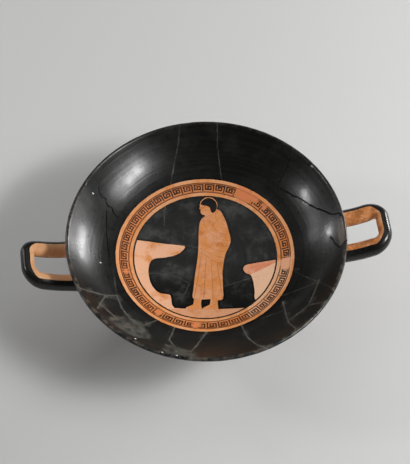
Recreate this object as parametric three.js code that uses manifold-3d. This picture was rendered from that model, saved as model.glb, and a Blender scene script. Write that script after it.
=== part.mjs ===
// Attic kylix: a wide, shallow drinking cup of fired clay on a low stemmed foot, with two
// looped handles. The bowl, the foot and the handles are shaped apart, joined with wet clay
// and fired together, so the finished cup is one solid piece.
//
// Millimetres, +Z up. The origin is on the cup's axis, in the plane that the foot rests on,
// and the handles lie along X.

import * as THREE from "three";
import { mergeVertices } from "three/addons/utils/BufferGeometryUtils.js";
import Module from "manifold-3d";

// Driving dimensions.
const height = 90; // foot to lip
const rimRadius = 115; // outside of the lip
const bowlDepth = 41.5; // lip plane to the middle of the floor
const lipRadius = 1.6; // rounding of the lip
const wall = 4.2; // thickness of the bowl's wall
const floor = 6; // thickness of the bowl above the stem
const stemRadius = 12.5; // waist of the stem
const footRadius = 46; // edge of the foot
const footEdge = 8; // thickness of the foot at its edge
const reach = 154.2; // axis to the outside of a handle
const roots = 34; // between the two roots of a handle, middle to middle
const branches = 31; // between its two branches where they turn
const barRadius = 5.5; // clay bar of a handle, at the outer end
const branchRadius = 6.7; // the same on the branches
const rootRadius = 8.2; // the same where it meets the bowl

// The inside of the bowl opens as a shallow parabola and steepens over its outer third.
const floorRise = 0.0025;
const wallRise = 0.00684;
const wallStart = 75;
const lipInside = 112.3; // where the inside surface meets the lip's rounding

const aroundCup = 56;
const aroundBar = 12;
const alongHandle = 36;
const insideSteps = 12;
const outsideSteps = 10;
const lipSteps = 5;
const stepsPerCurve = 4;

/** Height of the bowl's inside surface at a radius. */
function insideHeight(r) {
  return height - bowlDepth + floorRise * r * r + wallRise * Math.max(r - wallStart, 0) ** 2;
}

/** Slope of the bowl's inside surface at a radius, as an angle from level. */
function insideSlope(r) {
  return Math.atan(2 * floorRise * r + 2 * wallRise * Math.max(r - wallStart, 0));
}

/** The inside surface from the lip to the axis, or a line that lies sunk below it. */
function insideLine(sunk = 0) {
  const line = [];
  for (let i = 0; i <= insideSteps; i++) {
    const r = lipInside * (1 - i / insideSteps);
    line.push(new THREE.Vector2(r, insideHeight(r) - sunk));
  }
  return line;
}

/** The lip's rounding, from the outside of the wall over the top to the inside surface. */
function lipLine() {
  const slope = insideSlope(lipInside);
  const arc = new THREE.Path();
  const middle = new THREE.Vector2(rimRadius - lipRadius, height - lipRadius);
  arc.absarc(middle.x, middle.y, lipRadius, slope - Math.PI / 2, slope + Math.PI / 2);
  return arc.getPoints(lipSteps);
}

/** The outside surface from the stem out to the lip: the inside one, moved out square to itself. */
function outsideLine() {
  const line = [];
  const start = 30;
  for (let i = 0; i < outsideSteps; i++) {
    const along = i / outsideSteps;
    const r = THREE.MathUtils.lerp(start, lipInside, along);
    const thick = THREE.MathUtils.lerp(floor, wall, Math.min(2 * along, 1));
    const thinned = THREE.MathUtils.lerp(thick, 2 * lipRadius, Math.max(4 * along - 3, 0));
    const slope = insideSlope(r);
    line.push(new THREE.Vector2(
      r + thinned * Math.sin(slope), insideHeight(r) - thinned * Math.cos(slope)));
  }
  return line;
}

/** The foot and stem, from the hollow under the stem out to the edge and up to the bowl. */
function footLine(bowlStart) {
  const ring = footRadius - 12; // inner edge of the ring that the cup stands on
  const hollow = height / 3; // how far the hollow reaches up the stem
  const shoulder = footEdge + 3; // where the foot's upper face meets the stem's curve
  const waist = 30;
  const line = new THREE.Path();
  line.moveTo(0, hollow);
  line.quadraticCurveTo(6, hollow, 7, hollow - 8);
  line.quadraticCurveTo(9.5, 11, ring - 10, 6.5);
  line.lineTo(ring - 2.5, 3.2);
  line.lineTo(ring, 0);
  line.lineTo(footRadius - 3, 0);
  line.bezierCurveTo(footRadius - 0.6, 0.4, footRadius, 2, footRadius, footEdge / 2);
  line.bezierCurveTo(footRadius, footEdge - 2, footRadius - 0.8, footEdge, footRadius - 3.5, footEdge);
  line.quadraticCurveTo(28, footEdge + 0.6, 21, shoulder + 1);
  line.quadraticCurveTo(stemRadius, shoulder + 5, stemRadius, waist);
  line.bezierCurveTo(stemRadius, waist + 8, 17, bowlStart.y - 3.6, bowlStart.x, bowlStart.y);
  return line.getPoints(stepsPerCurve);
}

/** The turned part of the cup: foot, stem and bowl, as one closed outline round the axis. */
function turnedCup() {
  const outside = outsideLine();
  const outline = [...footLine(outside[0]), ...outside.slice(1), ...lipLine(), ...insideLine().slice(1)];
  return new THREE.LatheGeometry(outline, aroundCup);
}

/** The space inside the bowl, let into the wall by a little, that the handles' roots stay out of. */
function wineSpace() {
  const sunk = wall / 3;
  const outline = insideLine(sunk).reverse();
  outline.push(new THREE.Vector2(lipInside, 2 * height));
  outline.push(new THREE.Vector2(0, 2 * height));
  return new THREE.LatheGeometry(outline, aroundCup);
}

/** The middle line of a handle: two branches and an outer bar, seen from above, bent in height. */
class HandleLine extends THREE.Curve {
  constructor() {
    super();
    const start = 78; // inside the bowl, where the root is trimmed off
    const corner = 9.5;
    const end = reach - barRadius;
    const half = branches / 2;
    this.plan = new THREE.Path();
    this.plan.moveTo(start, -roots / 2);
    this.plan.lineTo(end - corner, -half);
    this.plan.absarc(end - corner, corner - half, corner, -Math.PI / 2, 0);
    this.plan.lineTo(end, half - corner);
    this.plan.absarc(end - corner, half - corner, corner, 0, Math.PI / 2);
    this.plan.lineTo(start, roots / 2);
  }

  getPoint(t, target = new THREE.Vector3()) {
    const lowest = new THREE.Vector2(112, height - 26.8);
    const rise = 0.0082;
    const p = this.plan.getPointAt(t);
    return target.set(p.x, p.y, lowest.y + rise * (p.x - lowest.x) ** 2);
  }
}

/** One handle: a round bar along its line, thicker towards the roots. */
function handleBar() {
  const line = new HandleLine();
  const section = new THREE.Shape().absarc(0, 0, 1, 0, 2 * Math.PI);
  const bar = new THREE.ExtrudeGeometry(section, {
    steps: alongHandle, curveSegments: aroundBar / 2, bevelEnabled: false, extrudePath: line,
  });
  const middles = line.getSpacedPoints(alongHandle);
  const place = bar.getAttribute("position");
  const p = new THREE.Vector3();
  for (let i = 0; i < place.count; i++) {
    p.fromBufferAttribute(place, i);
    const middle = middles.reduce((a, b) => (b.distanceTo(p) < a.distanceTo(p) ? b : a));
    p.sub(middle).multiplyScalar(barRadiusAt(middle.x)).add(middle);
    place.setXYZ(i, p.x, p.y, p.z);
  }
  return bar;
}

/** Radius of a handle's bar at a distance from the axis. */
function barRadiusAt(x) {
  const turn = reach - 16;
  if (x > turn) return THREE.MathUtils.mapLinear(x, turn, reach - barRadius, branchRadius, barRadius);
  const towardsRoot = THREE.MathUtils.smoothstep(-x, -118, -92);
  return THREE.MathUtils.lerp(branchRadius, rootRadius, towardsRoot);
}

const wasm = await Module();
wasm.setup();

/** A closed three.js geometry as a solid that can be joined and cut. */
function solid(geometry) {
  const bare = geometry.clone();
  bare.deleteAttribute("normal");
  bare.deleteAttribute("uv");
  const merged = mergeVertices(bare, 1e-4);
  return new wasm.Manifold(new wasm.Mesh({
    numProp: 3,
    vertProperties: new Float32Array(merged.getAttribute("position").array),
    triVerts: new Uint32Array(merged.index.array),
  }));
}

/** A joined solid as a three.js geometry. */
function geometryOf(body) {
  const mesh = body.getMesh();
  const geometry = new THREE.BufferGeometry();
  geometry.setAttribute("position", new THREE.BufferAttribute(mesh.vertProperties, 3));
  geometry.setIndex(new THREE.BufferAttribute(mesh.triVerts, 1));
  geometry.computeVertexNormals();
  return geometry;
}

/** The whole cup: the turned part, with a handle let into its wall on each side. */
function wholeCup() {
  // A lathe turns its outline round Y, and the cup stands on Z.
  const upright = (geometry) => geometry.rotateX(Math.PI / 2);
  const space = solid(upright(wineSpace()));
  let cup = solid(upright(turnedCup()));
  for (const turn of [0, Math.PI]) {
    const handle = solid(handleBar().rotateZ(turn)).subtract(space);
    cup = cup.add(handle);
  }
  return geometryOf(cup);
}

const blackSlip = new THREE.MeshStandardMaterial({ color: 0x1c1b19, roughness: 0.3, metalness: 0 });

const kylix = new THREE.Group();
const cup = new THREE.Mesh(wholeCup(), blackSlip);
cup.name = "kylix_cup";
kylix.add(cup);

export default kylix;
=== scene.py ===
"""An Attic kylix: a wide, shallow drinking cup of orange clay under glossy black slip, with a
round picture on its floor, two looped handles, and the mended joins of an old repair."""

import math

import bmesh
import bpy
import numpy as np
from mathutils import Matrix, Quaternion, Vector


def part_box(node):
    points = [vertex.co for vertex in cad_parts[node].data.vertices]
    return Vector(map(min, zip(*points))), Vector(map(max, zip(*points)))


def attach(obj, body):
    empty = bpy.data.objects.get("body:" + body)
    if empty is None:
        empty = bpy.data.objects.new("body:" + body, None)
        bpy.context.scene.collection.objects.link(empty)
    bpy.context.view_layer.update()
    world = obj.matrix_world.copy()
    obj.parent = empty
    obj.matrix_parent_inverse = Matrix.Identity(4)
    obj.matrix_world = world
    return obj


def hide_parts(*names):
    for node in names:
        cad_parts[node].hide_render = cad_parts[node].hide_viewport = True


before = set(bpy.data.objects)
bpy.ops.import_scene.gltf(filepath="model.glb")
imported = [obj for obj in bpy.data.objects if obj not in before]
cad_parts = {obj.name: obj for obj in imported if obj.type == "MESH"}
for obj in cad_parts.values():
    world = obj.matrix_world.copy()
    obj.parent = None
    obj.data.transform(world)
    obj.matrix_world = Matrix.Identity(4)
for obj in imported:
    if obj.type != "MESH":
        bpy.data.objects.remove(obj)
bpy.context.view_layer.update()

# ----------------------------------------------------------------------------------------------
# The thrown cup: bowl, stem and foot, turned on the wheel from fine orange clay. The bowl is a
# shallow dish that steepens towards a thin rounded lip, and the foot is a disc with a hollow
# cone under it. Everything is in metres, and `mm` is a millimetre.

mm = 0.001
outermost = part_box("kylix_cup")[1]
height, rim_radius, reach = outermost.z, outermost.y, outermost.x
bowl_depth = 41.5 * mm
floor_rise, wall_rise, wall_start = 2.5, 6.84, 75 * mm
lip_radius, lip_inside = 1.6 * mm, 112.3 * mm
wall, floor_thickness = 4.2 * mm, 6 * mm
stem_radius, foot_radius, foot_edge = 12.5 * mm, 46 * mm, 8 * mm
stem_top = 30 * mm           # radius where the stem's curve runs into the bowl's outside
picture_edge = 61.5 * mm     # radius of the finely meshed part of the floor


def inside_height(r):
    """Height of the bowl's inside at a radius: a parabola, and past wall_start a second one on it."""
    return height - bowl_depth + floor_rise * r**2 + wall_rise * np.maximum(r - wall_start, 0) ** 2


def inside_slope(r):
    """Angle of the bowl's inside from level, which is the arctangent of the height's derivative."""
    return np.arctan(2 * floor_rise * r + 2 * wall_rise * np.maximum(r - wall_start, 0))


def outside_point(r):
    """The outside of the wall: the inside point at r moved out square to the surface by the wall's
    thickness, which falls from the floor's to the wall's and then to the lip's."""
    along = (r - stem_top) / (lip_inside - stem_top)
    thick = np.interp(along, [0, 0.5, 0.75, 1], [floor_thickness, wall, wall, 2 * lip_radius])
    slope = inside_slope(r)
    return np.stack([r + thick * np.sin(slope), inside_height(r) - thick * np.cos(slope)], 1)


def bend(*points, steps=6):
    """A Bezier curve over its control points, in equal steps, without its first point."""
    t = np.linspace(0, 1, steps + 1)[1:, None]
    rows = [np.array(p) * mm + 0 * t for p in points]
    while len(rows) > 1:
        rows = [a + (b - a) * t for a, b in zip(rows, rows[1:])]
    return rows[0]


def inner_outline():
    """Radius and height from the picture's edge up the wall and over the lip."""
    r = np.linspace(picture_edge, lip_inside, 43)[:-1]
    slope = inside_slope(lip_inside)
    turn = np.linspace(slope + math.pi / 2, slope - math.pi / 2, 12)
    lip = np.stack([rim_radius - lip_radius + lip_radius * np.cos(turn),
                    height - lip_radius + lip_radius * np.sin(turn)], 1)
    return np.concatenate([np.stack([r, inside_height(r)], 1), lip])


def outer_outline():
    """Radius and height from under the lip down the outside, the stem and the foot, and up the
    hollow under the foot to the axis."""
    wall_line = outside_point(np.linspace(lip_inside, stem_top, 38)[1:])
    start_r, start_z = wall_line[-1] / mm
    edge, rest, top = foot_radius / mm, foot_radius / mm - 12, foot_edge / mm
    stem, waist, hollow = stem_radius / mm, 30, height / mm / 3
    lines = [
        wall_line,
        bend((start_r, start_z), (17, start_z - 3.6), (stem, waist + 8), (stem, waist), steps=9),
        bend((stem, waist), (stem, top + 8), (21, top + 4), steps=7),
        bend((21, top + 4), (28, top + 0.6), (edge - 3.5, top), steps=6),
        bend((edge - 3.5, top), (edge - 0.8, top), (edge, top - 2), (edge, top / 2), steps=6),
        bend((edge, top / 2), (edge, 2), (edge - 0.6, 0.4), (edge - 3, 0), steps=6),
        bend((edge - 3, 0), (rest, 0), steps=3),
        bend((rest, 0), (rest - 2.5, 3.2), steps=2),
        bend((rest - 2.5, 3.2), (rest - 10, 6.5), steps=2),
        bend((rest - 10, 6.5), (9.5, 11), (7, hollow - 8), steps=6),
        bend((7, hollow - 8), (6, hollow), (0.4, hollow), steps=4),
    ]
    return np.concatenate(lines)


across = 176                 # squares across the picture
fine = 4 * across            # points round the inside and the lip
coarse = across              # points round the outside


def picture_disc():
    """A square grid bent into a disc: the square at distance s from the middle becomes the circle
    of radius s, with equal angles along its sides."""
    u = np.linspace(-1, 1, across + 1)
    x, y = np.meshgrid(u, u, indexing="ij")
    wide = abs(x) >= abs(y)
    radius = np.where(wide, x, y)
    part = np.where(wide, y, x) / np.where(radius == 0, 1, radius)
    angle = np.where(wide, part, 2 - part) * math.pi / 4
    r = radius * picture_edge
    return np.stack([r * np.cos(angle), r * np.sin(angle), inside_height(abs(r))], -1).reshape(-1, 3)


def rings(outline, count):
    """A point of the outline carried round the axis: x = r cos(a), y = r sin(a), with equal angles
    from the grid's first corner."""
    angle = -math.pi / 4 + np.arange(count) * 2 * math.pi / count
    r, z = outline[:, :1], outline[:, 1:]
    return np.stack([r * np.cos(angle), r * np.sin(angle), z + 0 * angle], -1).reshape(-1, 3)


def strips(loops):
    """Squares between each closed loop of point numbers and the next."""
    near, far = loops[:-1], loops[1:]
    return np.stack([near, far, np.roll(far, -1, 1), np.roll(near, -1, 1)], -1).reshape(-1, 4)


# Chips along the lip, each as its angle and half width in degrees, and its depth in millimetres.
lip_chips = [(238, 1.3, 0.9), (242, 2.0, 1.2), (246, 1.2, 0.7), (251, 0.8, 0.6), (268, 1.5, 0.6),
             (274, 1.8, 0.9), (91, 1.4, 0.6), (147, 1.2, 0.7), (31, 1.0, 0.5), (312, 1.0, 0.5)]


def chipped(points):
    """The lip with its chips: near each angle it falls by a bell curve of that width and depth,
    less and less down to a few millimetres below the lip."""
    x, y, z = points.T
    angle = np.degrees(np.arctan2(y, x)) % 360
    deepest = 3 * mm
    at_lip = np.clip((z - (height - deepest)) / deepest, 0, 1) ** 2
    drop = sum(depth * np.exp(-(((angle - where) / width) ** 2)) for where, width, depth in lip_chips)
    return np.stack([x, y, z - drop * mm * at_lip], 1)


def thrown_cup():
    """The whole turned body as one closed mesh: the disc, the fine rings over the lip, one row of
    seven-sided faces down to a quarter of the points, the coarse rings, and a fan at the axis."""
    disc = picture_disc()
    inner, outer = inner_outline(), outer_outline()
    ring_points = np.concatenate([rings(inner[1:], fine), rings(outer, coarse)])
    tip = np.array([[0, 0, outer[-1, 1]]])
    points = chipped(np.concatenate([disc, ring_points, tip]))

    number = np.arange(len(disc)).reshape(across + 1, across + 1)
    squares = np.stack([number[:-1, :-1], number[1:, :-1], number[1:, 1:], number[:-1, 1:]], -1)
    edge = np.concatenate([number[-1, :-1], number[:0:-1, -1], number[0, :0:-1], number[:-1, 0]])
    fine_loops = len(disc) + np.arange((len(inner) - 1) * fine).reshape(-1, fine)
    first = len(disc) + fine_loops.size
    coarse_loops = first + np.arange(len(outer) * coarse).reshape(-1, coarse)
    inside = strips(np.concatenate([edge[None], fine_loops]))
    last = np.append(fine_loops[-1], fine_loops[-1, 0])
    five = np.stack([last[k:k + fine:4][:coarse] for k in range(5)], -1)
    stitch = np.concatenate([five[:, ::-1], coarse_loops[0][:, None],
                             np.roll(coarse_loops[0], -1)[:, None]], 1)
    outside = strips(coarse_loops)
    end = coarse_loops[-1]
    fan = np.stack([end, np.full(coarse, len(points) - 1), np.roll(end, -1)], -1)
    faces = [rows.tolist() for rows in (squares.reshape(-1, 4), inside, stitch, outside, fan)]
    return points, sum(faces, [])


def solid_from(name, points, faces):
    """A Blender object from arrays of points and faces."""
    mesh = bpy.data.meshes.new(name)
    mesh.from_pydata(points, [], faces)
    piece = bpy.data.objects.new(name, mesh)
    bpy.context.scene.collection.objects.link(piece)
    return piece


# ----------------------------------------------------------------------------------------------
# The two handles: rolled bars of clay bent into a loop and luted to the wall below the lip with wet
# clay, smoothed over the joint. They dip a little outside the wall and then rise. Each was bent by
# hand, so the left one is a little shorter, and the right one thicker and wider.

handle_left = {"side": -1, "end": reach - 7.1 * mm, "roots": (-18.4 * mm, 17 * mm),
               "branches": (-14 * mm, 16.8 * mm), "corners": (12.5 * mm, 5.6 * mm)}
handle_right = {"side": 1, "end": reach - 5.5 * mm, "roots": (-17 * mm, 17 * mm),
                "branches": (-16.4 * mm, 17.4 * mm), "corners": (10.5 * mm, 9.5 * mm)}
bar_radius, branch_radius, root_radius = 5.5 * mm, 6.7 * mm, 8.2 * mm
right_thicker = 0.6 * mm
root_start = 78 * mm
dip_radius, dip_height, handle_rise = 112 * mm, height - 26.8 * mm, 8.2
fillet = 7 * mm              # how near two surfaces come before the clay between them swells


def handle_line(side, end, roots, branches, corners):
    """Middle line of a handle: seen from above two straight branches, two corners that are arcs, and
    an outer bar, and in height a parabola lowest outside the wall. Each pair is near and far."""
    bow = np.linspace(-math.pi / 2, 0, 13)[:, None]
    arc = np.hstack([np.cos(bow), np.sin(bow)])
    turn_near = [end - corners[0], branches[0] + corners[0]] + corners[0] * arc
    turn_far = [end - corners[1], branches[1] - corners[1]] + corners[1] * arc[::-1] * [1, -1]
    steps = np.linspace(0, 1, 34)[:-1, None]
    branch_near = [root_start, roots[0]] + (turn_near[0] - [root_start, roots[0]]) * steps
    branch_far = [root_start, roots[1]] + (turn_far[-1] - [root_start, roots[1]]) * steps
    bar = turn_near[-1] + (turn_far[0] - turn_near[-1]) * np.linspace(0, 1, 10)[1:-1, None]
    plan = np.concatenate([branch_near, turn_near, bar, turn_far, branch_far[::-1]])
    z = dip_height + handle_rise * (plan[:, 0] - dip_radius) ** 2
    return np.column_stack([plan * [side, 1], z])


def bar_radius_at(x):
    """Radius of a handle's bar: thin at the outer end, thicker on the branches, thickest at the
    root, with a smooth step between."""
    branch = branch_radius + np.where(x > 0, right_thicker, 0)
    outer = np.interp(abs(x), [reach - 16 * mm, reach - bar_radius], [1, 0])
    t = np.clip((118 * mm - abs(x)) / (26 * mm), 0, 1)
    return bar_radius + (branch - bar_radius) * outer + (root_radius - branch) * t * t * (3 - 2 * t)


handle_lines = [handle_line(**handle) for handle in (handle_left, handle_right)]


def off_the_wall(points):
    """How far points stand off the outside of the wall: their drop below it times its slope's
    cosine, or their distance from the lip where they are further out than the lip."""
    r = np.hypot(points[..., 0], points[..., 1])
    line = outside_point(np.linspace(stem_top, lip_inside, 200))
    drop = np.interp(r, line[:, 0], line[:, 1]) - points[..., 2]
    return np.where(r > rim_radius, np.hypot(drop, r - rim_radius), drop * np.cos(inside_slope(r)))


def off_the_bars(points):
    """How far points stand off the handles' bars: the least distance to a middle line, less the
    bar's radius there."""
    gaps = [np.linalg.norm(points[:, None] - line, axis=2) - bar_radius_at(line[:, 0])
            for line in handle_lines]
    return np.minimum(*[gap.min(1) for gap in gaps])


def swelling(gap):
    """Clay smoothed over a joint: a surface stands out by (fillet - gap) squared over 4 fillets."""
    return np.clip(fillet - abs(gap), 0, None) ** 2 / (4 * fillet)


def rolled_bar(line, around=26):
    """A handle as a grid: a circle carried along its line, swollen where it nears the wall, with a
    flat end at each root, inside the bowl."""
    along = np.gradient(line, axis=0)
    out = np.cross(along, [0, 0, 1])
    up = np.cross(out, along)
    out, up = (v / np.linalg.norm(v, axis=1, keepdims=True) for v in (out, up))
    turn = np.arange(around) * 2 * math.pi / around
    spoke = out[:, None] * np.cos(turn)[:, None] + up[:, None] * np.sin(turn)[:, None]
    skin = line[:, None] + bar_radius_at(line[:, :1])[..., None] * spoke
    skin = skin + swelling(off_the_wall(skin))[..., None] * spoke
    loops = np.arange(skin.shape[0] * around).reshape(-1, around)
    faces = strips(loops).tolist() + [loops[0].tolist(), loops[-1, ::-1].tolist()]
    return skin.reshape(-1, 3), faces


def wine_space(around=96):
    """The space in the bowl, let a little into the wall, that the handles' roots are trimmed from."""
    r = np.linspace(0.5 * mm, lip_inside, 40)
    floor_line = np.stack([r, inside_height(r) - wall / 3], 1)
    points = rings(np.concatenate([[[lip_inside, 2 * height]], floor_line[::-1]]), around)
    loops = np.arange(len(points)).reshape(-1, around)
    return points, strips(loops).tolist() + [loops[0].tolist(), loops[-1, ::-1].tolist()]


def joined(whole, other, operation):
    """Joins a closed piece to another, or cuts it away, and keeps only the result."""
    step = whole.modifiers.new("join", "BOOLEAN")
    step.operation, step.solver, step.object = operation, "MANIFOLD", other
    result = whole.evaluated_get(bpy.context.evaluated_depsgraph_get())
    old, whole.data = whole.data, bpy.data.meshes.new_from_object(result)
    whole.modifiers.clear()
    for spent in (old, other.data):
        bpy.data.meshes.remove(spent)


def cut_up(piece):
    """Cuts the faces of more than four sides, which the joins leave, into well-shaped triangles."""
    mesh = bmesh.new()
    mesh.from_mesh(piece.data)
    bmesh.ops.triangulate(mesh, faces=[face for face in mesh.faces if len(face.verts) > 4])
    mesh.to_mesh(piece.data)
    mesh.free()


def luted_cup():
    """The thrown cup with its wall drawn out towards the handles, and both handles joined to it."""
    points, faces = thrown_cup()
    r = np.hypot(points[:, 0], points[:, 1])
    outside = points[:, 2] < inside_height(r) - 2 * mm
    near = (r > 60 * mm) & (r < lip_inside) & outside
    x, y = points[near, :2].T
    slope = inside_slope(r[near])
    away = np.stack([x / r[near] * np.sin(slope), y / r[near] * np.sin(slope), -np.cos(slope)], 1)
    points[near] += swelling(off_the_bars(points[near]))[:, None] * away
    cup = solid_from("kylix", points, faces)
    for line in handle_lines:
        handle = solid_from("handle", *rolled_bar(line))
        joined(handle, solid_from("space", *wine_space()), "DIFFERENCE")
        joined(cup, handle, "UNION")
    cut_up(cup)
    return cup


# ----------------------------------------------------------------------------------------------
# The ring round the picture: a band of bare clay between thin lines of slip, with a running key
# drawn in it by brush. It is a little off the cup's axis, and worn away in places.


class Wire:
    """One socket of a material's node tree: arithmetic on it adds Math nodes, node() any other."""

    def __init__(self, tree, socket=None):
        self.tree, self.socket = tree, socket

    def node(self, kind, settings=None, inputs=None, output=0):
        """Adds a node, sets its settings and its sockets' values or links, and gives an output."""
        new = self.tree.nodes.new(kind)
        for name, value in (settings or {}).items():
            setattr(new, name, value)
        for name, value in (inputs or {}).items():
            if isinstance(value, Wire):
                self.tree.links.new(value.socket, new.inputs[name])
            else:
                new.inputs[name].default_value = value
        return Wire(self.tree, new.outputs[output]) if new.outputs else None

    def math(self, operation, *values):
        return self.node("ShaderNodeMath", {"operation": operation}, dict(enumerate(values)))

    def __add__(self, other):
        return self.math("ADD", self, other)

    def __sub__(self, other):
        return self.math("SUBTRACT", self, other)

    def __rsub__(self, other):
        return self.math("SUBTRACT", other, self)

    def __mul__(self, other):
        return self.math("MULTIPLY", self, other)

    def __truediv__(self, other):
        return self.math("DIVIDE", self, other)

    def __mod__(self, other):
        return self.math("FLOORED_MODULO", self, other)

    def __pow__(self, other):
        return self.math("POWER", self, other)

    def __lt__(self, other):
        return self.math("LESS_THAN", self, other)

    def __gt__(self, other):
        return self.math("GREATER_THAN", self, other)

    def __abs__(self):
        return self.math("ABSOLUTE", self)

    __radd__, __rmul__ = __add__, __mul__

    def least(self, *others):
        return self.math("MINIMUM", self, others[0]).least(*others[1:]) if others else self

    def most(self, *others):
        return self.math("MAXIMUM", self, others[0]).most(*others[1:]) if others else self

    def away_from(self, other, x, y):
        """Distance of the place (self, other) from the point (x, y)."""
        return ((self - x) ** 2 + (other - y) ** 2) ** 0.5

    def fade(self, start, end):
        """0 up to start, 1 from end on, and smooth between them."""
        return self.node("ShaderNodeMapRange", {"interpolation_type": "SMOOTHSTEP"},
                         {"Value": self, "From Min": start, "From Max": end})

    def noise(self, size, detail=3, rough=0.5):
        """Noise from 0 to 1 on a place in millimetres, with features of that size."""
        return self.node("ShaderNodeTexNoise", None, {"Vector": self, "Scale": 1 / size,
                                                      "Detail": detail, "Roughness": rough})

    def paint(self, code):
        """A plain colour of the painter's palette, from its usual six-digit code."""
        plain = self.node("ShaderNodeRGB")
        plain.socket.default_value = light_of(code)
        return plain

    def mix(self, code, part):
        """This colour, with that part of it turned into another."""
        return self.node("ShaderNodeMix", {"data_type": "RGBA"},
                         {0: part, 6: self, 7: code if isinstance(code, Wire) else light_of(code)}, 2)


def light_of(code):
    """The shader's light values of a colour code: each part of 255 by the usual display curve."""
    parts = [int(code[k:k + 2], 16) / 255 for k in (0, 2, 4)]
    return [((v + 0.055) / 1.055) ** 2.4 if v > 0.04 else v / 12.92 for v in parts] + [1]


# Radii in millimetres, strokes in a key's cell of 8 by 6, and worn places as angle, radius and size.
ring_middle = (-1.1, -0.5)
ring_in, ring_out = 60.2, 74.2
line_in, line_out = 63.4, 71.0
key_in, key_out, key_count = 64.3, 70.2, 46
key_strokes = [(0.6, 0), (0.6, 5.5), (6.7, 5.5), (6.7, 1.5), (2.5, 1.5), (2.5, 4.0), (4.7, 4.0),
               (4.7, 2.8)]
worn_away = [(54, 67, 8), (46, 69, 4), (345, 67, 6), (36, 68, 2.5), (256, 68, 3.5), (228, 68, 3),
             (187, 68, 2)]


def key_ring(place, x, y, inside):
    """The ring's clay, its lines and keys of slip, and its own radius. Each key is a bent stroke in a
    cell of 8 by 6, unrolled from the turn and the radius, and the stroke is where the least distance
    to its straight parts is small."""
    shaky = place.noise(3.5) - 0.5
    off_x, off_y = x - ring_middle[0], y - ring_middle[1]
    radius = (off_x ** 2 + off_y ** 2) ** 0.5 + shaky * 0.5
    turn = place.math("ARCTAN2", off_y, off_x)
    cell = (turn / (2 * math.pi) * key_count + 0.3) % 1 * 8
    rise = (radius - key_in) / (key_out - key_in) * 6
    parts = []
    for (c0, r0), (c1, r1) in zip(key_strokes, key_strokes[1:]):
        beside = abs(cell - (c0 + c1) / 2) - abs(c1 - c0) / 2
        above = abs(rise - (r0 + r1) / 2) - abs(r1 - r0) / 2
        parts.append(beside.most(above))
    width = 0.58 + (place.noise(13, 2) - 0.5) * 0.4
    keys = (parts[0].least(*parts[1:]) + shaky * 0.7 < width) * (radius > key_in) * (radius < key_out)
    worn = []
    for angle, r, size in worn_away:
        a = math.radians(angle)
        worn.append(x.away_from(y, r * math.cos(a), r * math.sin(a)) - size)
    worn = 1 - (worn[0].least(*worn[1:]) + (place.noise(2.6, 4, 0.7) - 0.5) * 9).fade(-1, 1)
    half_line = 0.5
    lines = (abs(radius - line_in) < half_line).most(abs(radius - line_out) < half_line)
    lines = lines * (1 - worn * 0.7)
    ring = (radius > ring_in) * (radius < ring_out) * inside
    return {"radius": radius, "ring": ring, "worn": worn * ring, "lines": lines * ring,
            "keys": keys * (1 - worn) * ring}


# ----------------------------------------------------------------------------------------------
# The painter's drawing on the floor of the bowl: a cloaked youth standing on a ground line between
# two pale rocks, left in the colour of the clay while the ground round them is filled with slip.
# It is drawn in millimetres, p to its right and q up, and stands a little askew to the handles.

picture_lean = math.radians(7.6)
picture_out, ground_line = 58.9, -49.8


def smooth(points, steps=6):
    """A closed Catmull-Rom curve through points: each stretch is the usual cubic in the four
    nearest."""
    points = np.array(points, float)
    a, b, c, d = (np.roll(points, k, 0)[:, None] for k in (1, 0, -1, -2))
    t = np.arange(steps)[:, None] / steps
    curve = b + t * ((c - a) + t * ((2 * a - 5 * b + 4 * c - d) + t * (3 * b - a - 3 * c + d))) / 2
    return curve.reshape(-1, 2)


def to_stroke(p, q, line):
    """Distance of points to a line of straight strokes, and the same with its side's sign: for each
    stroke, the distance to the nearest point between its ends."""
    least, side = np.full(p.shape, 1e3), np.full(p.shape, 1e3)
    for (p0, q0), (p1, q1) in zip(line, line[1:]):
        along_p, along_q = p1 - p0, q1 - q0
        length = math.hypot(along_p, along_q)
        t = np.clip(((p - p0) * along_p + (q - q0) * along_q) / length**2, 0, 1)
        gap = np.hypot(p - p0 - t * along_p, q - q0 - t * along_q)
        turn = (along_p * (q - q0) - along_q * (p - p0)) / length
        side = np.where(gap < least, turn, side)
        least = np.minimum(gap, least)
    return least, side


def to_shape(p, q, outline):
    """Distance to a closed outline, below 0 inside it: inside are the points from which a level ray
    crosses the outline an odd number of times."""
    outline = np.concatenate([outline, outline[:1]])
    within = np.zeros(p.shape, bool)
    for (p0, q0), (p1, q1) in zip(outline, outline[1:]):
        if q0 != q1:
            within ^= ((q0 > q) != (q1 > q)) & (p < p0 + (q - q0) * (p1 - p0) / (q1 - q0))
    return np.where(within, -1, 1) * to_stroke(p, q, outline)[0]


def to_oval(p, q, middle, half_wide, half_high):
    """Rough distance to an oval, below 0 inside it: its scaled radius less 1, times its mean half."""
    scaled = np.hypot((p - middle[0]) / half_wide, (q - middle[1]) / half_high)
    return (scaled - 1) * (half_wide + half_high) / 2


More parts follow.
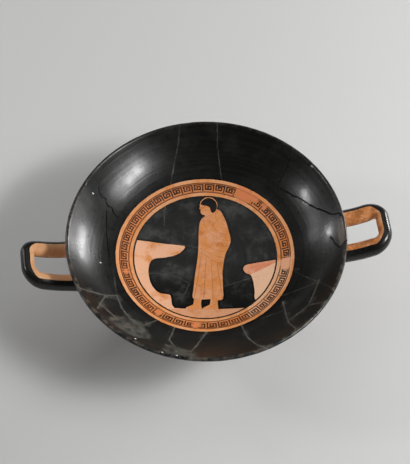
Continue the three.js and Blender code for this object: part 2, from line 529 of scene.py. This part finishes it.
cloak = smooth([(-2.4, 41), (-5.6, 36), (-6.6, 25), (-6.6, 12), (-7.6, 0), (-9.2, -14), (-10.4, -28),
                (-10.6, -38.6), (-3, -39.4), (5, -39), (13.4, -39.6), (14, -28), (13.6, -14),
                (14.6, -2), (16.4, 7), (20.4, 18), (18.6, 29), (15.6, 39), (11.4, 46.5), (7.4, 47.5),
                (4.4, 43.4), (0.4, 41.8)])
face = smooth([(-3.6, 54.6), (-4.6, 51.6), (-6.2, 48.6), (-5, 47.4), (-5.1, 45.4), (-3.9, 43.2),
               (-1.4, 42.4), (-0.6, 40), (5, 40), (6, 48), (3, 55)])
hair = smooth([(-5, 52.4), (-2.8, 56), (1.4, 57.7), (5.6, 56.6), (8.5, 52.8), (8.6, 48.2),
               (6.2, 44.8), (3.8, 46), (2.6, 49.4), (0, 50.8), (-2.4, 51.2)])
near_foot = np.array([(-9.6, -37), (-3.6, -37), (-4, -44), (-3.4, -49.9), (-17, -49.9),
                      (-16, -48.4), (-10.4, -45)])
far_foot = near_foot + [13.6, 0]
left_rock = smooth([(-90, 14), (-66, 14.4), (-50, 14.8), (-36, 14.4), (-24, 14.2), (-18.2, 13.4),
                    (-19.6, 9.6), (-25, 4.8), (-34, 1.4), (-43, -1), (-47, -6), (-47.8, -16),
                    (-45.2, -27), (-39, -34.6), (-31, -35.8), (-29, -38), (-27.8, -46), (-26, -56),
                    (-50, -70), (-90, -40)])
right_rock = smooth([(90, -3), (66, -3.4), (52, -4), (40, -4.6), (33, -5.8), (30.8, -9.4),
                     (33, -13.6), (37, -16.2), (38.8, -22), (40, -32), (41.6, -44), (60, -50),
                     (90, -30)])


def draw_picture(x, y):
    """Distances of points on the floor, in millimetres, to each part of the drawing. The folds are
    whole numbers of a count that grows across them: rings round the shoulder above the cloak's
    turned edge, and a fan that opens towards the hem below it."""
    c, s = math.cos(picture_lean), math.sin(picture_lean)
    p, q = x * c - y * s, x * s + y * c
    youth = [to_shape(p, q, shape) for shape in (cloak, face, near_foot, far_foot)]
    youth.append(to_oval(p, q, (1.8, 50.9), 7.5, 7.6))
    rocks = [to_shape(p, q, rock) for rock in (left_rock, right_rock)] + [q - ground_line]
    turned_edge = q - (2 - 0.75 * (p - 4))
    shoulder = np.hypot(p - 21, q - 43) / 5.4
    fan = (p - 2) / (1.05 + 0.035 * (24 - q)) / 2.4
    return {
        "youth": np.minimum.reduce(youth),
        "rocks": np.minimum.reduce(rocks),
        "hair": to_shape(p, q, hair),
        "cloak": to_shape(p, q, cloak),
        "turned_edge": turned_edge,
        "folds": np.where(turned_edge > 0, shoulder, fan),
        "eye": to_stroke(p, q, [(-4.2, 49.4), (-2.6, 49.6)])[0],
        "late_sherd": np.maximum(q - (-15.5 + 0.45 * (p - 37)), 34 - p),
    }


def picture_lines(place, drawn, ring, inside):
    """The clay of the picture, and the lines of thick and of thinned slip drawn over it."""
    shaky = place.noise(4) - 0.5
    within = (ring["radius"] < picture_out) * inside
    reserved = drawn["youth"].least(drawn["rocks"]) + shaky * 0.3
    stroke = place.noise(9) * 0.1 * (0.7 + (drawn["turned_edge"] < 0) * 0.4)
    fold = abs(drawn["folds"] % 1 - 0.5) < stroke
    edge = abs(drawn["turned_edge"] + shaky) < 0.3
    on_cloak = drawn["cloak"] < -0.9
    hem = (abs(drawn["cloak"] + 0.35) < 0.25) * (drawn["youth"] < -0.9)
    thin = (fold.most(edge) * on_cloak).most(hem, drawn["eye"] < 0.35)
    clay = within * (reserved < 0)
    return {"clay": clay, "hair": clay * (drawn["hair"] < 0), "thin": clay * thin,
            "reserved": reserved, "within": within, "rocks": within * (drawn["rocks"] < 0)}


# ----------------------------------------------------------------------------------------------
# The old repair: the cup was broken into sherds, joined again with a grey cement that shows as pale
# lines, and filled where clay was lost. Some breaks stay open and dark. Each run of points is an
# angle in degrees round the bowl and a radius in millimetres.

clear_joins = [
    [(199, 114), (201, 102), (203, 94), (204, 85)],
    [(203, 94), (207, 102), (210, 108)],
    [(204, 85), (213, 89), (221, 91), (228, 89), (231, 76)],
    [(209, 103), (218, 101)],
    [(243, 76), (244, 92), (248, 99), (256, 103), (257, 115)],
    [(263, 75), (259, 88), (256, 103)],
    [(285, 76), (284, 91), (285, 105), (287, 115)],
    [(314, 80), (309, 88), (304, 99), (302, 110), (300, 115)],
    [(317, 101), (319, 115)],
    [(331, 98), (317, 101), (306, 98)],
]
faint_joins = [
    [(188, 79), (204, 85)],
    [(310, 85), (299, 78)],
    [(320, 76), (327, 87), (331, 98)],
    [(331, 98), (328, 107), (325, 115)],
    [(338, 76), (331, 98)],
    [(94, 115), (96, 103), (101, 88), (106, 76)],
    [(78, 115), (77, 98), (75, 86), (73, 76)],
    [(117, 61), (123, 55), (129, 49)],
    [(76, 62), (72, 54), (66, 46)],
    [(190, 62), (192, 44), (206, 30), (232, 27), (236, 44)],
    [(294, 30), (320, 38), (338, 60), (340, 76)],
    [(160, 48), (140, 30), (118, 16)],
]
open_breaks = [
    [(43, 112), (40, 101), (39, 91), (37, 82), (36, 76)],
    [(35, 87), (29, 89), (23, 92.5), (17, 95.5), (13, 98.5), (9, 103), (5, 107), (4, 111), (1, 114)],
    [(143.6, 103), (145.4, 99.5), (144.6, 96), (146.8, 92.5), (146.2, 89), (148.4, 86), (148.6, 83)],
    [(151, 90), (164, 84), (176, 81)],
    [(354, 103), (347, 109), (350, 114)],
]
cement_fills = [
    [(217, 108), (217, 97), (222, 90), (228, 89), (236, 99), (234, 103), (228, 108)],
    [(244, 100), (252, 102), (258, 104), (257, 111), (246, 111)],
]
lip_patch = [(2, 108.5), (1, 113), (355, 114), (350, 113), (347, 110), (352, 107.5)]
white_specks = [(147, 105), (182, 88), (232, 109), (245, 113), (251, 113)]
lost_slip_pit = (64, 100)
bowl_from = 44               # height in millimetres, above which all the clay is the bowl's


def on_floor(runs):
    """Runs of angle and radius as runs of x and y, in millimetres."""
    return [[(r * math.cos(math.radians(a)), r * math.sin(math.radians(a))) for a, r in run]
            for run in runs]


def draw_runs(x, y, runs):
    """Distance to the nearest of several lines, and the same with its side's sign."""
    near, side = np.full(x.shape, 1e3), np.full(x.shape, 1e3)
    for run in on_floor(runs):
        gap, signed = to_stroke(x, y, run)
        side = np.where(gap < near, signed, side)
        near = np.minimum(gap, near)
    return near, side


def draw_repair(x, y):
    """Distances of points, in millimetres, to the joins, the open breaks and the fills."""
    distances = {}
    for name, runs in (("clear", clear_joins), ("faint", faint_joins), ("broken", open_breaks)):
        distances[name], distances[name + "_side"] = draw_runs(x, y, runs)
    fills = [to_shape(x, y, smooth(run)) for run in on_floor(cement_fills)]
    distances["fill"] = np.minimum.reduce(fills)
    distances["patch"] = to_shape(x, y, smooth(on_floor([lip_patch])[0]))
    return distances


def repair_marks(place, x, y, drawn, bowl, inside):
    """Where the cement, the open breaks and the white specks show. A line is where the signed
    distance is small, which stays sharp between the mesh's points, and the distance near enough.
    The breaks go right through the bowl, so that they show outside too."""
    rough = place.noise(2.6, 4) - 0.5
    blotch = place.noise(9, 4)

    def run(name, width, soft, shake):
        side = abs(drawn[name + "_side"] + rough * shake)
        return (1 - side.fade(width, width + soft)) * (drawn[name] < 2.4) * bowl

    halo = (1 - (drawn["clear"] + rough * 5).fade(0.5, 4.5)) * blotch.fade(0.48, 0.68) * bowl
    clear = run("clear", 0.2, 0.9, 1.8) * (0.3 + blotch * 0.8)
    faint = run("faint", 0.1, 0.7, 1.4) * (0.12 + blotch.fade(0.35, 0.7) * 0.42)
    fill = 1 - (drawn["fill"] + (place.noise(5, 4) - 0.5) * 9).fade(-1.5, 2)
    fill = fill * blotch.fade(0.25, 0.6) * bowl
    specks = [x.away_from(y, *speck) for speck in on_floor([white_specks])[0]]
    pit_x, pit_y = on_floor([[lost_slip_pit]])[0][0]
    pit = (x.away_from(y, pit_x, pit_y) + rough < 0.8) * inside
    # The lip patch is cement, and its colour grows towards its lower end as a painted highlight.
    return {"cement": clear.most(faint, halo * 0.4, fill * 0.65), "joins": clear.most(faint),
            "patch": (1 - (drawn["patch"] + rough * 2).fade(-2, 0.3)) * inside * y.fade(10, -12),
            "broken": run("broken", 0.26, 0.35, 2.0).most(pit),
            "specks": (specks[0].least(*specks[1:]) + rough * 0.8 < 0.75) * inside}


# ----------------------------------------------------------------------------------------------
# The bare clay of the outside: the inner faces of the handles and the wall between them, a thin ring
# on the bowl's underside, the edge of the foot and all under it. The slip ends on each bar's crest.

loop_from = 88               # millimetres from the axis, where the bare faces of the handles start


def draw_handles(x, y):
    """Distance in plan to the nearest handle's middle line, in millimetres, below 0 in the loop."""
    return {"loop": np.minimum.reduce([to_shape(x, y, line[:, :2] / mm) for line in handle_lines])}


def bare_outside(place, x, z, radius, inside, drawn):
    """Where the outside was left without slip. On a bar the slip ends a little past the middle
    line, and on the outer bar a little short of it."""
    shaky = place.noise(5) - 0.5
    outer_bar = abs(x).fade(reach / mm - 16, reach / mm - 8)
    crest = 1.6 - outer_bar * (3.2 + (x < 0) * 1.6)
    loop = (drawn["loop"] + shaky * 0.7 < crest) * (abs(x) > loop_from) * (z < height / mm - 9)
    edge_top, edge_bottom, edge_in = foot_edge / mm - 0.8, 1.2, foot_radius / mm - 3
    foot = (z < edge_top) * (z > edge_bottom) * (radius > edge_in)
    resting = (radius < edge_in + 1.5) * (z < 11 - radius * 0.2)
    under = (z < 26) * resting.most(radius < 9)
    thin_ring = (abs(radius - 58.5) < 0.5) * (z > 30)
    return loop.most(foot, under, thin_ring) * (1 - inside)


# ----------------------------------------------------------------------------------------------
# The surface: fine orange clay, and over it a slip of the finest part of the same clay, brushed on
# in many strokes while the cup turned, which the firing made black and nearly glass. The parts
# mixed below run from 0 to 1, and sizes and places are in millimetres.


def paint_on(cup):
    """Keeps every drawn distance on the cup's own points, so that the material can follow it. Each
    is worked out only where it can show, and is far everywhere else."""
    place = np.empty(3 * len(cup.data.vertices), np.float32)
    cup.data.vertices.foreach_get("co", place)
    x, y = place.reshape(-1, 3)[:, :2].T.astype(float) / mm
    r = np.hypot(x, y)
    names = []
    on_picture, on_bowl, near_handles = r < 72, r < 116, abs(x) > 60
    far = 99.0
    drawings = ((on_picture, draw_picture), (on_bowl, draw_repair), (near_handles, draw_handles))
    for part, drawing in drawings:
        for name, value in drawing(x[part], y[part]).items():
            whole = np.full(x.shape, far, np.float32)
            whole[part] = value
            cup.data.attributes.new(name, "FLOAT", "POINT").data.foreach_set("value", whole)
            names.append(name)
    return names


def clay_colour(place, x, y, z, ring, picture, late_sherd):
    """Orange clay, pinker and paler in clouds, rusty in others, with painted shade under the handles'
    bars towards their outer ends, and the slip drawn thinly on it.
    """
    cloudy, rusty, grain = place.noise(13, 5, 0.6), place.noise(8, 5, 0.65), place.noise(1.3, 4, 0.65)
    clay = place.paint("db8d4e")
    clay = clay.mix("e3a57d", cloudy.fade(0.42, 0.62) * 0.7)
    clay = clay.mix("bd672d", rusty.fade(0.5, 0.72) * 0.65)
    rock = picture["rocks"]
    clay = clay.mix("ecb592", rock * (cloudy + 0.1).fade(0.4, 0.6) * 0.85)
    clay = clay.mix("de8460", rock * (late_sherd > 0) * (x > 25) * rusty.fade(0.3, 0.5) * 0.8)
    between = (ring["radius"] > line_in) * (ring["radius"] < line_out)
    clay = clay.mix("cb7a42", ring["ring"] * between * 0.75)
    clay = clay.mix("e2a26d", ring["ring"] * (1 - between) * cloudy.fade(0.35, 0.6) * 0.5)
    clay = clay.mix("dd7f55", ring["worn"] * rusty.fade(0.35, 0.6) * 0.75)
    clay = clay.mix("f0c6a2", (late_sherd < 0) * (rock * 0.75).most(ring["ring"] * 0.5))
    clay = clay.mix("b9713a", rock * (y < ground_line + 3) * 0.4)
    handle = ring["radius"] > loop_from
    scorched = place.noise(7, 4, 0.6).fade(0.4, 0.6) * (0.25 + (x > 0) * 0.5)
    clay = clay.mix("e9ad78", handle * place.noise(12, 3).fade(0.35, 0.6) * 0.7)
    clay = clay.mix("a35c26", handle * scorched)
    clay = clay.mix("ecbc92", handle * place.noise(3, 4, 0.6).fade(0.56, 0.68) * 0.5)
    clay = clay.mix("ecc095", handle * (x < 0) * 0.45)
    clay = clay.mix("b87a38", handle * (x > 0) * place.noise(9, 3).fade(0.4, 0.6) * 0.35)
    # Painted shade: below the middle line of each bar, towards its outer end, the clay is darkened to
    # a deep brown.
    bar_height = dip_height / mm + handle_rise * mm * (abs(x) - dip_radius / mm) ** 2
    painted_shade_under_bar = (bar_height - z).fade(-0.5, 4)
    clay = clay.mix("4f2c17", handle * painted_shade_under_bar * abs(x).fade(108, 116) * 0.8)
    clay = clay.mix("f3cfab", grain.fade(0.58, 0.76) * 0.4)
    clay = clay.mix("9c5723", (1 - grain.fade(0.26, 0.42)) * 0.4)
    clay = clay.mix("5c280c", ring["lines"] * 0.9)
    rust = place.noise(20, 2).fade(0.45, 0.62)
    keys = place.paint("150d08").mix("4a200b", rust)
    clay = clay.mix(keys, ring["keys"] * (0.75 + grain * 0.4).least(1))
    clay = clay.mix("8a4c25", picture["thin"] * (grain + 0.1).fade(0.35, 0.65) * 0.5)
    return clay.mix("0b0a09", picture["hair"])


def slip_colour(place, x, y, z, radius, streak, ring, picture):
    """Black slip with a cast of green where it is thin, a smoky film of wear, a blacker contour
    round what was left bare, brown by the lip, and the lip paler where worn, with a painted highlight
    line along it on the left."""
    slip = place.paint("0e0e0d")
    slip = slip.mix("171814", streak.fade(0.42, 0.62) * 0.6)
    film = place.noise(17, 6, 0.66).fade(0.46, 0.7)
    slip = slip.mix("3c3d3b", film * (0.17 + picture["within"] * 0.8))
    slip = slip.mix("30312f", place.noise(2.5, 5, 0.7).fade(0.6, 0.8) * 0.25)
    contour = (1 - picture["reserved"].fade(1.2, 2.6)) * picture["within"]
    past_ring = ring["radius"] - ring_out
    contour = contour.most((1 - past_ring.fade(0.8, 1.8)) * (past_ring > 0))
    slip = slip.mix("040404", contour * 0.9)
    slip = slip.mix("081a1c", y.fade(-30, -85) * radius.fade(76, 100) * (z > bowl_from) * 0.65)
    cloud = (place.noise(9, 4) + streak * 0.3).fade(0.55, 0.8)
    misfired = radius.fade(103, 111) * y.fade(20, -60) * cloud
    slip = slip.mix("33261c", misfired * x.fade(-20, -80) * 0.35)
    # The lip is paler where worn, mostly on the lower half, and along the left this pale line is a
    # painted highlight.
    worn_and_highlit_lip = z.fade(height / mm - 1.8, height / mm - 0.3) * place.noise(4, 4).fade(0.42, 0.62)
    return slip.mix("6b6055", worn_and_highlit_lip * (0.12 + y.fade(10, -60).most(x.fade(-80, -110)) * 0.4))


def glaze(cup, names):
    """The cup's one material, which reads places in millimetres and the drawn distances."""
    material = bpy.data.materials.new("slip_and_clay")
    material.use_nodes = True
    tree = material.node_tree
    tree.nodes.clear()
    start = Wire(tree)
    place = start.node("ShaderNodeVectorMath", {"operation": "SCALE"}, {
        0: start.node("ShaderNodeTexCoord", output="Object"), "Scale": 1 / mm})
    x, y, z = (start.node("ShaderNodeSeparateXYZ", None, {0: place}, axis) for axis in range(3))
    drawn = {name: start.node("ShaderNodeAttribute", {"attribute_name": name}, output="Fac")
             for name in names}
    radius = (x ** 2 + y ** 2) ** 0.5
    steep = (radius - wall_start / mm).most(0) ** 2
    just_under = (height - bowl_depth) / mm - 1
    inside = z > just_under + floor_rise * mm * radius ** 2 + wall_rise * mm * steep

    ring = key_ring(place, x, y, inside)
    picture = picture_lines(place, drawn, ring, inside)
    repair = repair_marks(place, x, y, drawn, z > bowl_from, inside)
    bare = ring["ring"].most(picture["clay"], bare_outside(place, x, z, radius, inside, drawn))
    painted = 1 - bare
    slip_on = painted.most(ring["keys"] * 0.8, picture["hair"] * 0.8)

    streak = start.node("ShaderNodeTexNoise", {"noise_dimensions": "1D"}, {
        "W": radius + place.noise(40) * 6, "Scale": 0.4, "Detail": 3, "Roughness": 0.55})
    clay = clay_colour(place, x, y, z, ring, picture, drawn["late_sherd"])
    slip = slip_colour(place, x, y, z, radius, streak, ring, picture)
    cement = start.paint("55544e").mix("706c62", place.noise(5).fade(0.4, 0.7))
    colour = slip.mix(clay, bare)
    colour = colour.mix(cement, repair["cement"] * painted)
    # The lip patch: pale grey-brown cement, stronger towards its lower end, where it is a painted
    # highlight.
    colour = colour.mix("85776a", repair["patch"] * 0.6)
    colour = colour.mix("b59274", repair["joins"] * bare * 0.5)
    colour = colour.mix("030303", repair["broken"] * 0.95)
    colour = colour.mix("d8d2c6", repair["specks"])

    dull = (repair["cement"] + repair["broken"]).least(1)
    rubbed = y.fade(-45, -85) * inside
    rough = 0.22 + place.noise(6, 4) * 0.14 + (1 - slip_on) * 0.34
    rough = rough + dull * 0.3 + repair["broken"] * 0.5 + rubbed * 0.12
    shine = slip_on * (1 - dull) * (0.14 + place.noise(18, 4).fade(0.35, 0.65) * 0.2)
    shine = shine * (1 - rubbed * 0.85)

    # Relief in millimetres: brush marks, grain, the slip's own thickness and the wall's unevenness.
    relief = streak * 0.07 + place.noise(2, 1) * 0.005 + painted * 0.03 + place.noise(26, 2) * 0.25
    relief = (relief - repair["joins"] * 0.06 - repair["broken"] * 0.5) * mm
    bump = start.node("ShaderNodeBump", None, {"Strength": 1.0, "Distance": 1.0, "Height": relief})
    shader = start.node("ShaderNodeBsdfPrincipled", None, {
        "Base Color": colour, "Roughness": rough.least(1), "Normal": bump, "Coat Weight": shine,
        "Specular IOR Level": 0.27, "Coat Roughness": 0.14, "Coat IOR": 1.5})
    start.node("ShaderNodeOutputMaterial", None, {"Surface": shader})
    cup.data.materials.clear()
    cup.data.materials.append(material)


cup = luted_cup()
glaze(cup, paint_on(cup))
cup.data.shade_smooth()
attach(cup, "root")
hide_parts("kylix_cup")


# ----------------------------------------------------------------------------------------------
# The floor, the studio lights and the camera, none of which belongs to the cup: a sheet of pale
# paper, softboxes on both sides whose reflections lie on the slip, and a long lens from above.

rim_middle = Vector((0, 0, height))
lamp_distance = 1.4


def toward(turn, lift):
    """The direction at an angle from +Y towards +X, and an angle above level, both in degrees."""
    a, e = math.radians(turn), math.radians(lift)
    return Vector((math.sin(a) * math.cos(e), math.cos(a) * math.cos(e), math.sin(e)))


def softbox(name, turn, lift, wide, tall, brightness, lean=0):
    """A rectangular lamp that faces the cup from that direction, and leans in its own plane. Its
    power is its brightness, in radiance, times its area and pi."""
    lamp = bpy.data.lights.new(name, "AREA")
    lamp.shape, lamp.size, lamp.size_y = "RECTANGLE", wide, tall
    lamp.energy = brightness * wide * tall * math.pi
    holder = bpy.data.objects.new(name, lamp)
    bpy.context.scene.collection.objects.link(holder)
    holder.location = rim_middle + toward(turn, lift) * lamp_distance
    facing = toward(turn, lift).to_track_quat("Z", "Y") @ Quaternion((0, 0, 1), math.radians(lean))
    holder.rotation_euler = facing.to_euler()
    holder.visible_camera = False


softbox("right_lamp", 115, 45, 0.3, 0.16, 44)
softbox("right_box", 112, 44, 0.68, 0.38, 10.8)
softbox("right_strip", 61.5, 11.2, 0.42, 0.11, 49, -27)
softbox("right_low_strip", 68, 2.5, 0.5, 0.06, 18)
softbox("right_sheet", 74, 16, 0.8, 0.36, 2.5)
softbox("left_lamp", -78, 34, 0.2, 0.12, 36)
softbox("left_low_lamp", -53.5, 15, 0.065, 0.065, 120)
softbox("left_low_box", -58, 29, 0.4, 0.25, 4)
softbox("top_box", 8, 66, 1.4, 1.0, 0.55)

# The room is pale at the level of the eye and dark above, where the slip would mirror it.
world = bpy.data.worlds.new("studio")
bpy.context.scene.world = world
world.use_nodes = True
sky = Wire(world.node_tree)
up = sky.node("ShaderNodeSeparateXYZ", None, {0: sky.node("ShaderNodeTexCoord")}, 2)
sky.tree.links.new(sky.paint("b9b9b8").mix("454547", up.fade(0.05, 0.35)).socket,
                   world.node_tree.nodes["Background"].inputs["Color"])


def floor_sheet():
    """A flat pale floor, wide enough for every view. Far out, where the lamps do not reach, it
    glows by itself, so that it is as pale there as near the cup."""
    half = 4.0
    corners = np.array([(-half, -half, 0), (half, -half, 0), (half, half, 0), (-half, half, 0)])
    sheet = solid_from("floor", corners, [[0, 1, 2, 3]])
    paper = bpy.data.materials.new("paper")
    paper.use_nodes = True
    paper.node_tree.nodes.clear()
    start = Wire(paper.node_tree)
    place = start.node("ShaderNodeTexCoord", output="Object")
    far = start.node("ShaderNodeVectorMath", {"operation": "LENGTH"}, {0: place}, "Value")
    shader = start.node("ShaderNodeBsdfPrincipled", None, {
        "Base Color": (0.62, 0.62, 0.61, 1), "Roughness": 0.8,
        "Emission Color": start.paint("000000").mix("a9a9a8", far.fade(0.5, 2.2)),
        "Emission Strength": 1.0})
    start.node("ShaderNodeOutputMaterial", None, {"Surface": shader})
    sheet.data.materials.append(paper)


floor_sheet()

view_turn, view_lift, view_distance = 187.3, 57.78, 1.19
off_centre = Vector((-1.06 * mm, 2.04 * mm, 0))
camera = bpy.data.objects.new("camera", bpy.data.cameras.new("camera"))
bpy.context.scene.collection.objects.link(camera)
bpy.context.scene.camera = camera
sight = toward(view_turn, view_lift)
turned = sight.to_track_quat("Z", "Y")
camera.rotation_euler = turned.to_euler()
camera.location = rim_middle + sight * view_distance + turned @ off_centre
camera.data.lens = 113.3
camera.data.clip_end = 50
bpy.context.scene.view_settings.view_transform = "Standard"
